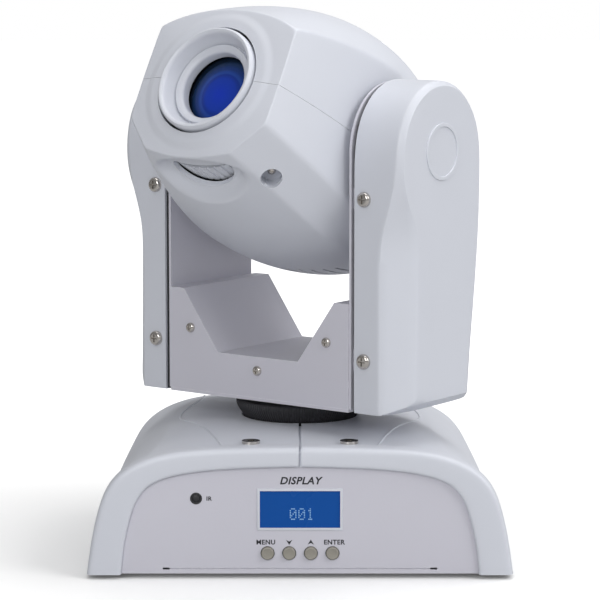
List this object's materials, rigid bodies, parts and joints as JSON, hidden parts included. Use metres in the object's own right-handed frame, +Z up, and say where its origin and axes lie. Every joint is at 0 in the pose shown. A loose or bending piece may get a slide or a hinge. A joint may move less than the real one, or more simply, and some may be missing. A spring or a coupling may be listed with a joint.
{
  "type": "moving head light",
  "caption": "Small moving head light: arched base with display and buttons, panning yoke, tilting faceted head with a round lens.",
  "frame": {"origin": "on the pan axis, at the level of the rubber feet's undersides, just below the mouth of the bracket hole", "axes": "+Z up along the pan axis, front panel faces -Y, +X to the right seen from the front"},
  "size_m": [0.2, 0.1675, 0.2648],
  "materials": {
    "white_plastic": "fine satin moulding",
    "painted_sheet": "satin powder coat",
    "bare_steel": "zinc plated",
    "screw_nickel": "bright nickel plate",
    "black_plastic": "moulded",
    "button_grey": "moulded",
    "display_blue": "clear window over blue display",
    "circuit_board": "solder mask",
    "rubber": "moulded",
    "alloy": "machined",
    "belt_rubber": "toothed belt",
    "lens_glass": "coated glass",
    "motor_black": "motor can",
    "wheel_steel": "black oxide"
  },
  "bodies": {
    "base": {"base_shell_left": "white_plastic", "base_shell_right": "white_plastic", "floor_plate": "painted_sheet", "front_panel": "painted_sheet", "rear_panel": "painted_sheet", "display_window": "display_blue", "display_module": "circuit_board", "ir_receiver": "black_plastic", "control_board": "circuit_board", "power_supply": "circuit_board", "main_board": "circuit_board", "power_inlet": "black_plastic", "dmx_input": "black_plastic", "dmx_output": "black_plastic", "rubber_feet": "rubber", "shell_screws": "screw_nickel", "floor_screws": "screw_nickel", "pan_bridge": "bare_steel", "pan_disc": "black_plastic", "pan_bearing_outer": "bare_steel", "pan_motor": "motor_black", "pan_belt": "belt_rubber"},
    "yoke": {"yoke_crossmember": "painted_sheet", "yoke_floor": "painted_sheet", "arm_plate_left": "painted_sheet", "arm_plate_right": "painted_sheet", "arm_cover_left": "white_plastic", "arm_cover_right": "white_plastic", "cover_screws": "screw_nickel", "yoke_screws": "screw_nickel", "pan_hub": "alloy", "pan_pulley": "alloy", "pan_bearing_inner": "bare_steel", "tilt_motor": "motor_black", "tilt_belt": "belt_rubber", "tilt_bearing_outer": "bare_steel"},
    "head": {"head_shell_top": "white_plastic", "head_shell_bottom": "white_plastic", "lens_bezel": "white_plastic", "head_frame": "bare_steel", "trunnions": "bare_steel", "tilt_pulley": "alloy", "tilt_bearing_inner": "bare_steel", "led_engine": "alloy", "heat_sink": "alloy", "wheel_motors": "motor_black", "fan_housing": "black_plastic", "head_screws": "screw_nickel"},
    "pan_motor_pulley": {"pan_motor_pulley": "alloy"},
    "tilt_motor_pulley": {"tilt_motor_pulley": "alloy"},
    "focus_ring": {"focus_ring": "white_plastic"},
    "lens_cell": {"lens_cell": "black_plastic", "front_lens": "lens_glass"},
    "colour_wheel": {"colour_wheel": "wheel_steel"},
    "gobo_wheel": {"gobo_wheel": "wheel_steel"},
    "fan_rotor": {"fan_rotor": "black_plastic"},
    "menu_button": {"menu_button": "button_grey"},
    "down_button": {"down_button": "button_grey"},
    "up_button": {"up_button": "button_grey"},
    "enter_button": {"enter_button": "button_grey"}
  },
  "joints": [
    {"name": "pan", "type": "hinge", "parent": "base", "child": "yoke", "pos_m": [0, 0, 0.066], "axis": [0, 0, 1], "range_deg": [-233, 307]},
    {"name": "pan_motor_turn", "type": "hinge", "parent": "base", "child": "pan_motor_pulley", "pos_m": [0, 0.05, 0.052], "axis": [0, 0, 1], "range_deg": [-936, 1232]},
    {"name": "tilt", "type": "hinge", "parent": "yoke", "child": "head", "pos_m": [0, 0, 0.1977], "axis": [-0.7986, 0.6018, 0], "range_deg": [-54, 176]},
    {"name": "tilt_motor_turn", "type": "hinge", "parent": "yoke", "child": "tilt_motor_pulley", "pos_m": [0.04792, -0.03611, 0.0935], "axis": [-0.7986, 0.6018, 0], "range_deg": [-166, 532]},
    {"name": "focus", "type": "hinge", "parent": "head", "child": "focus_ring", "pos_m": [-0.03199, -0.04245, 0.22145], "axis": [-0.5264, -0.6985, 0.4848], "range_deg": [-40, 40]},
    {"name": "focus_travel", "type": "slide", "parent": "head", "child": "lens_cell", "axis": [-0.5264, -0.6985, 0.4848], "range_m": [-0.002, 0.002]},
    {"name": "colour_change", "type": "hinge", "parent": "head", "child": "colour_wheel", "pos_m": [-0.01089, -0.01445, 0.22488], "axis": [-0.5264, -0.6985, 0.4848], "continuous": true},
    {"name": "gobo_change", "type": "hinge", "parent": "head", "child": "gobo_wheel", "pos_m": [-0.02045, -0.02714, 0.18796], "axis": [-0.5264, -0.6985, 0.4848], "continuous": true},
    {"name": "fan_spin", "type": "hinge", "parent": "head", "child": "fan_rotor", "pos_m": [0.03053, 0.04051, 0.16958], "axis": [-0.5264, -0.6985, 0.4848], "continuous": true},
    {"name": "menu_press", "type": "slide", "parent": "base", "child": "menu_button", "axis": [0, 1, 0], "range_m": [0, 0.0005], "stiffness_N_per_m": 900, "springref_m": -0.0005},
    {"name": "down_press", "type": "slide", "parent": "base", "child": "down_button", "axis": [0, 1, 0], "range_m": [0, 0.0005], "stiffness_N_per_m": 900, "springref_m": -0.0005},
    {"name": "up_press", "type": "slide", "parent": "base", "child": "up_button", "axis": [0, 1, 0], "range_m": [0, 0.0005], "stiffness_N_per_m": 900, "springref_m": -0.0005},
    {"name": "enter_press", "type": "slide", "parent": "base", "child": "enter_button", "axis": [0, 1, 0], "range_m": [0, 0.0005], "stiffness_N_per_m": 900, "springref_m": -0.0005}
  ],
  "couplings": [
    {"joint": "pan_motor_turn", "follows": "pan", "ratio": 4},
    {"joint": "tilt_motor_turn", "follows": "tilt", "ratio": 3},
    {"joint": "focus_travel", "follows": "focus", "m_per_rad": 0.0028}
  ]
}
